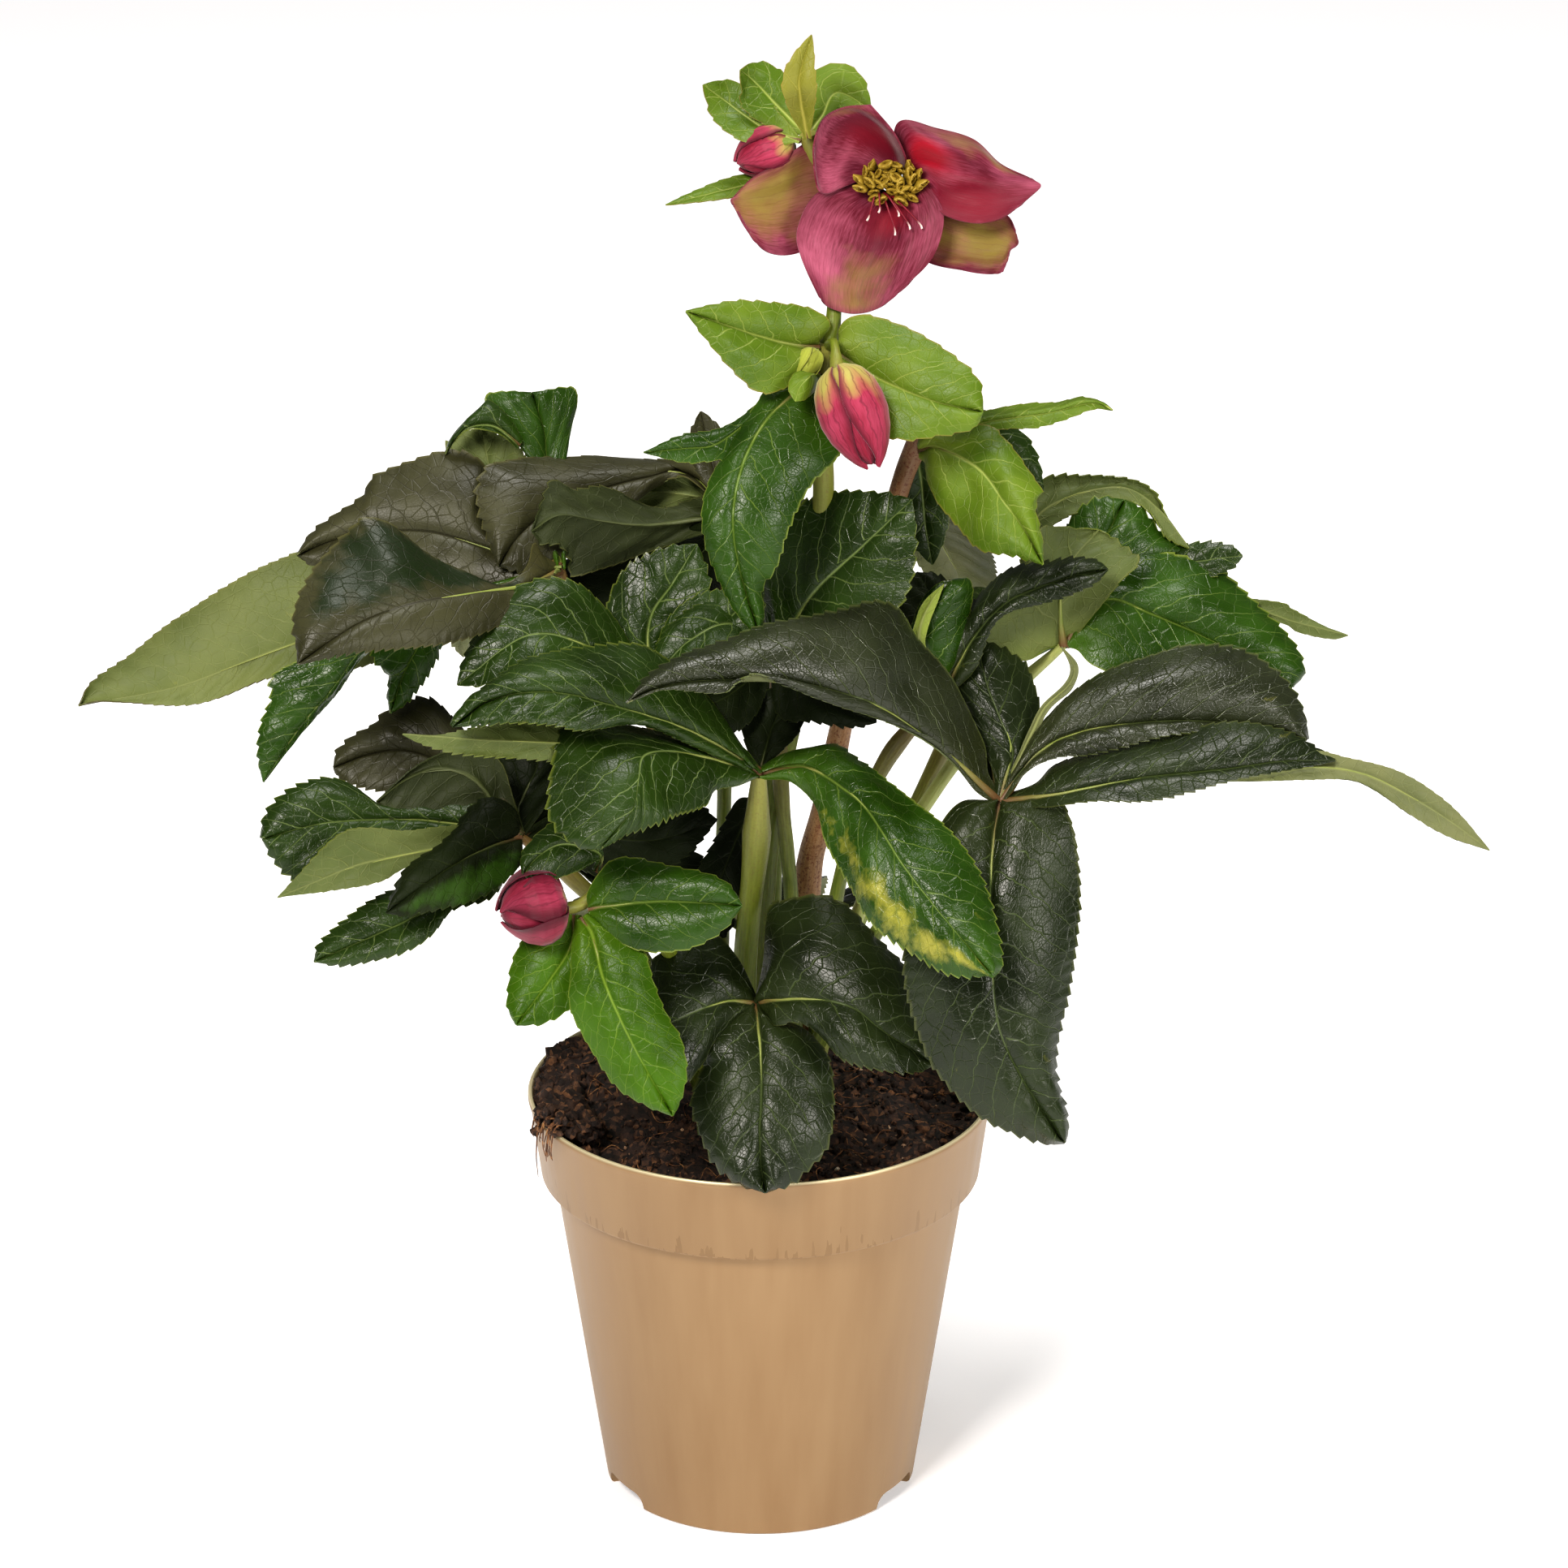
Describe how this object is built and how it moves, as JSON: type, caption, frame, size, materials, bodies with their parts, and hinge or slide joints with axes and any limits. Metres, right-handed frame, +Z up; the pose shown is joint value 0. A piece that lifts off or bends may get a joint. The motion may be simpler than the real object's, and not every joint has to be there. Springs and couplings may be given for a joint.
{
  "type": "potted hellebore plant",
  "caption": "Leafy perennial in a satin gold nursery pot: leathery divided leaves on long stalks, flowering stems with bracts, an open five-sepal flower and nodding buds.",
  "frame": {"origin": "middle of the flat underside of the pot", "axes": "+Z up along the pot's axis, -Y towards the side where the open flower looks, +X to the right of it"},
  "size_m": [0.385, 0.24, 0.426],
  "materials": {
    "gold_pot": "satin metallic gold",
    "peat": "crumbled moist peat",
    "green_stem": "smooth matt, olive green",
    "red_stem": "smooth matt, reddish brown, speckled",
    "dark_leaf": "leathery, glossy, dark green",
    "bronze_leaf": "leathery, satin, bronze green",
    "green_leaf": "leathery, glossy, mid green",
    "bract": "satin, light green",
    "young_bract": "satin, fresh green",
    "sepal": "silky, dusky pink with olive",
    "bud": "silky, crimson",
    "green_bud": "satin, yellow-green",
    "nectary": "satin, yellow-green",
    "pistil": "satin, red"
  },
  "bodies": {
    "root": {"pot": "gold_pot", "soil": "peat", "crown": "green_stem", "flower_stem_main": "green_stem", "flower_stem_side": "red_stem", "flower_stem_bud": "green_stem", "bud_stalk": "green_stem", "bud_hanging": "bud", "bud_upper": "bud", "bud_left": "bud", "bud_green": "green_bud", "nectary_ring": "nectary", "pistils": "pistil", "sepal_bottom": "sepal", "sepal_left": "sepal", "sepal_top": "sepal", "sepal_right": "sepal", "sepal_back": "sepal", "leaf_front_low": "dark_leaf", "leaf_center": "green_leaf", "leaf_right_front": "dark_leaf", "leaf_right_upper": "green_leaf", "leaf_rolled": "green_leaf", "leaf_left_upper": "bronze_leaf", "leaf_left_back": "bronze_leaf", "leaf_left_mid": "green_leaf", "leaf_middle": "green_leaf", "leaf_left_lower": "green_leaf", "leaf_back_left": "dark_leaf", "leaf_back_center": "dark_leaf", "leaf_back_right": "green_leaf", "leaf_back_low": "dark_leaf", "bract_top_center": "bract", "bract_top_left": "bract", "bract_top_back": "green_leaf", "bract_top_low": "bract", "bract_mid_left": "bract", "bract_mid_right": "bract", "bract_mid_low": "green_leaf", "bract_side_right": "bract", "bract_side_low": "bract", "bract_side_back": "green_leaf", "bract_bud_right": "young_bract", "bract_bud_low": "young_bract", "bract_bud_left": "young_bract", "bract_bud_top": "green_leaf"}
  },
  "joints": []
}
